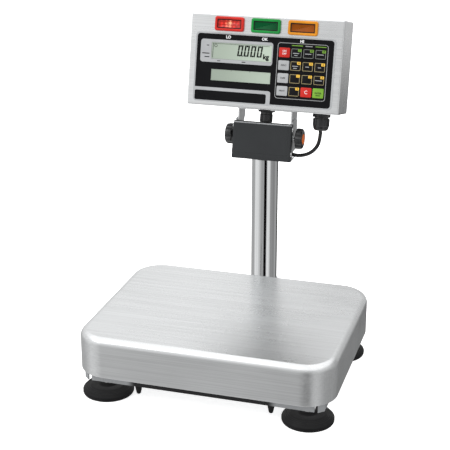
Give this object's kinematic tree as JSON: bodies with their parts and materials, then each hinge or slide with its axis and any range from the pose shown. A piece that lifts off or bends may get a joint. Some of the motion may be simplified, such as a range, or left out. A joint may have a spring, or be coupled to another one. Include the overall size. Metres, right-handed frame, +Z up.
{
  "type": "bench scale",
  "caption": "Free-standing bench weighing scale: flat stainless pan on levelling feet, rear column and a tilting display head with limit lamps, two LCDs and a membrane keypad.",
  "frame": {"origin": "on the floor at the centre of the whole scale's footprint box", "axes": "+Z up, the display and keypad face -Y, +X to the right seen from the front"},
  "size_m": [0.38, 0.4276, 0.5028],
  "materials": {
    "pan_steel": "brushed stainless, grain across the pan",
    "frame_steel": "grey painted steel",
    "column_steel": "polished stainless tube",
    "neck_steel": "satin stainless sheet",
    "cover_paint": "dark grey fine-texture paint",
    "case_steel": "satin stainless sheet",
    "cast_alloy": "machined and cast aluminium",
    "bright_screw": "bright plated steel",
    "black_rubber": "black moulded rubber",
    "black_plastic": "black moulded nylon",
    "cap_orange": "orange moulded cap",
    "cable_jacket": "black cable jacket",
    "front_film": "printed polyester film",
    "lcd_glass": "green-grey liquid crystal glass",
    "board_green": "green circuit board",
    "lamp_red": "red lamp moulding",
    "lamp_green": "green lamp moulding",
    "lamp_amber": "amber lamp moulding",
    "key_black": "black key pad with khaki outline",
    "key_grey": "light grey key pad",
    "key_red": "red key pad",
    "key_green": "green key pad",
    "level_metal": "level case"
  },
  "bodies": {
    "base": {"base_frame": "frame_steel", "rear_carrier": "frame_steel", "column_tube": "column_steel", "neck_bracket": "neck_steel", "neck_cover": "cover_paint", "cover_screws": "bright_screw", "frame_bolts": "bright_screw", "cable_grommet": "black_rubber", "display_cable": "cable_jacket", "spirit_level": "level_metal", "load_cell": "cast_alloy", "overload_stops": "bright_screw", "bumper_pegs": "black_rubber", "foot_nuts": "bright_screw"},
    "platform": {"platform_spider": "cast_alloy", "upper_cell_bolts": "bright_screw", "pan_cushions": "black_rubber"},
    "pan": {"weighing_pan": "pan_steel"},
    "display": {"front_case": "case_steel", "case_gasket": "black_rubber", "rear_cover": "case_steel", "rear_cover_screws": "bright_screw", "head_bracket": "neck_steel", "overlay_panel": "front_film", "main_lcd": "lcd_glass", "sub_lcd": "lcd_glass", "main_board": "board_green", "red_lamp": "lamp_red", "green_lamp": "lamp_green", "amber_lamp": "lamp_amber", "spare_gland": "black_plastic", "cable_gland": "black_plastic"},
    "left_knob": {"left_knob": "black_plastic", "left_knob_cap": "cap_orange"},
    "right_knob": {"right_knob": "black_plastic", "right_knob_cap": "cap_orange"},
    "foot_front_left": {"foot_pad_front_left": "black_rubber"},
    "foot_screw_front_left": {"foot_stud_front_left": "bright_screw"},
    "foot_front_right": {"foot_pad_front_right": "black_rubber"},
    "foot_screw_front_right": {"foot_stud_front_right": "bright_screw"},
    "foot_rear_left": {"foot_pad_rear_left": "black_rubber"},
    "foot_screw_rear_left": {"foot_stud_rear_left": "bright_screw"},
    "foot_rear_right": {"foot_pad_rear_right": "black_rubber"},
    "foot_screw_rear_right": {"foot_stud_rear_right": "bright_screw"},
    "key_power": {"key_power": "key_red"},
    "key_7": {"key_7": "key_black"},
    "key_8": {"key_8": "key_black"},
    "key_9": {"key_9": "key_black"},
    "key_zero": {"key_zero": "key_grey"},
    "key_4": {"key_4": "key_black"},
    "key_5": {"key_5": "key_black"},
    "key_6": {"key_6": "key_black"},
    "key_tare": {"key_tare": "key_grey"},
    "key_1": {"key_1": "key_black"},
    "key_2": {"key_2": "key_black"},
    "key_3": {"key_3": "key_black"},
    "key_print": {"key_print": "key_grey"},
    "key_0": {"key_0": "key_black"},
    "key_clear": {"key_clear": "key_red"},
    "key_enter": {"key_enter": "key_green"}
  },
  "joints": [
    {"name": "platform_deflection", "type": "slide", "parent": "base", "child": "platform", "axis": [0, 0, 1], "range_m": [-0.0005, 0], "stiffness_N_per_m": 600000, "deforming": ["load_cell"]},
    {"name": "pan_lift", "type": "slide", "parent": "platform", "child": "pan", "axis": [0, 0, 1], "range_m": [0, 0.08]},
    {"name": "head_tilt", "type": "hinge", "parent": "base", "child": "display", "pos_m": [0, 0.13797, 0.31463], "axis": [-1, 0, 0], "range_deg": [-12, 30], "deforming": ["display_cable"]},
    {"name": "left_knob_turn", "type": "hinge", "parent": "display", "child": "left_knob", "pos_m": [-0.057, 0.13797, 0.31463], "axis": [-1, 0, 0], "range_deg": [0, 360]},
    {"name": "right_knob_turn", "type": "hinge", "parent": "display", "child": "right_knob", "pos_m": [0.057, 0.13797, 0.31463], "axis": [1, 0, 0], "range_deg": [0, 360]},
    {"name": "foot_front_left_height", "type": "slide", "parent": "base", "child": "foot_front_left", "axis": [0, 0, -1], "range_m": [0, 0.008]},
    {"name": "foot_front_left_screw", "type": "hinge", "parent": "foot_front_left", "child": "foot_screw_front_left", "pos_m": [-0.15, -0.1748, 0.03], "axis": [0, 0, -1], "range_deg": [0, 1921]},
    {"name": "foot_front_right_height", "type": "slide", "parent": "base", "child": "foot_front_right", "axis": [0, 0, -1], "range_m": [0, 0.008]},
    {"name": "foot_front_right_screw", "type": "hinge", "parent": "foot_front_right", "child": "foot_screw_front_right", "pos_m": [0.15, -0.1748, 0.03], "axis": [0, 0, -1], "range_deg": [0, 1921]},
    {"name": "foot_rear_left_height", "type": "slide", "parent": "base", "child": "foot_rear_left", "axis": [0, 0, -1], "range_m": [0, 0.008]},
    {"name": "foot_rear_left_screw", "type": "hinge", "parent": "foot_rear_left", "child": "foot_screw_rear_left", "pos_m": [-0.15, 0.0472, 0.03], "axis": [0, 0, -1], "range_deg": [0, 1921]},
    {"name": "foot_rear_right_height", "type": "slide", "parent": "base", "child": "foot_rear_right", "axis": [0, 0, -1], "range_m": [0, 0.008]},
    {"name": "foot_rear_right_screw", "type": "hinge", "parent": "foot_rear_right", "child": "foot_screw_rear_right", "pos_m": [0.15, 0.0472, 0.03], "axis": [0, 0, -1], "range_deg": [0, 1921]},
    {"name": "key_power_press", "type": "slide", "parent": "display", "child": "key_power", "axis": [0, 0.9759, -0.2181], "range_m": [0, 0.0004], "stiffness_N_per_m": 4000, "springref_m": -0.0001},
    {"name": "key_7_press", "type": "slide", "parent": "display", "child": "key_7", "axis": [0, 0.9759, -0.2181], "range_m": [0, 0.0004], "stiffness_N_per_m": 4000, "springref_m": -0.0001},
    {"name": "key_8_press", "type": "slide", "parent": "display", "child": "key_8", "axis": [0, 0.9759, -0.2181], "range_m": [0, 0.0004], "stiffness_N_per_m": 4000, "springref_m": -0.0001},
    {"name": "key_9_press", "type": "slide", "parent": "display", "child": "key_9", "axis": [0, 0.9759, -0.2181], "range_m": [0, 0.0004], "stiffness_N_per_m": 4000, "springref_m": -0.0001},
    {"name": "key_zero_press", "type": "slide", "parent": "display", "child": "key_zero", "axis": [0, 0.9759, -0.2181], "range_m": [0, 0.0004], "stiffness_N_per_m": 4000, "springref_m": -0.0001},
    {"name": "key_4_press", "type": "slide", "parent": "display", "child": "key_4", "axis": [0, 0.9759, -0.2181], "range_m": [0, 0.0004], "stiffness_N_per_m": 4000, "springref_m": -0.0001},
    {"name": "key_5_press", "type": "slide", "parent": "display", "child": "key_5", "axis": [0, 0.9759, -0.2181], "range_m": [0, 0.0004], "stiffness_N_per_m": 4000, "springref_m": -0.0001},
    {"name": "key_6_press", "type": "slide", "parent": "display", "child": "key_6", "axis": [0, 0.9759, -0.2181], "range_m": [0, 0.0004], "stiffness_N_per_m": 4000, "springref_m": -0.0001},
    {"name": "key_tare_press", "type": "slide", "parent": "display", "child": "key_tare", "axis": [0, 0.9759, -0.2181], "range_m": [0, 0.0004], "stiffness_N_per_m": 4000, "springref_m": -0.0001},
    {"name": "key_1_press", "type": "slide", "parent": "display", "child": "key_1", "axis": [0, 0.9759, -0.2181], "range_m": [0, 0.0004], "stiffness_N_per_m": 4000, "springref_m": -0.0001},
    {"name": "key_2_press", "type": "slide", "parent": "display", "child": "key_2", "axis": [0, 0.9759, -0.2181], "range_m": [0, 0.0004], "stiffness_N_per_m": 4000, "springref_m": -0.0001},
    {"name": "key_3_press", "type": "slide", "parent": "display", "child": "key_3", "axis": [0, 0.9759, -0.2181], "range_m": [0, 0.0004], "stiffness_N_per_m": 4000, "springref_m": -0.0001},
    {"name": "key_print_press", "type": "slide", "parent": "display", "child": "key_print", "axis": [0, 0.9759, -0.2181], "range_m": [0, 0.0004], "stiffness_N_per_m": 4000, "springref_m": -0.0001},
    {"name": "key_0_press", "type": "slide", "parent": "display", "child": "key_0", "axis": [0, 0.9759, -0.2181], "range_m": [0, 0.0004], "stiffness_N_per_m": 4000, "springref_m": -0.0001},
    {"name": "key_clear_press", "type": "slide", "parent": "display", "child": "key_clear", "axis": [0, 0.9759, -0.2181], "range_m": [0, 0.0004], "stiffness_N_per_m": 4000, "springref_m": -0.0001},
    {"name": "key_enter_press", "type": "slide", "parent": "display", "child": "key_enter", "axis": [0, 0.9759, -0.2181], "range_m": [0, 0.0004], "stiffness_N_per_m": 4000, "springref_m": -0.0001}
  ],
  "couplings": [
    {"joint": "foot_front_left_screw", "follows": "foot_front_left_height", "rad_per_m": 4188.8},
    {"joint": "foot_front_right_screw", "follows": "foot_front_right_height", "rad_per_m": 4188.8},
    {"joint": "foot_rear_left_screw", "follows": "foot_rear_left_height", "rad_per_m": 4188.8},
    {"joint": "foot_rear_right_screw", "follows": "foot_rear_right_height", "rad_per_m": 4188.8}
  ]
}
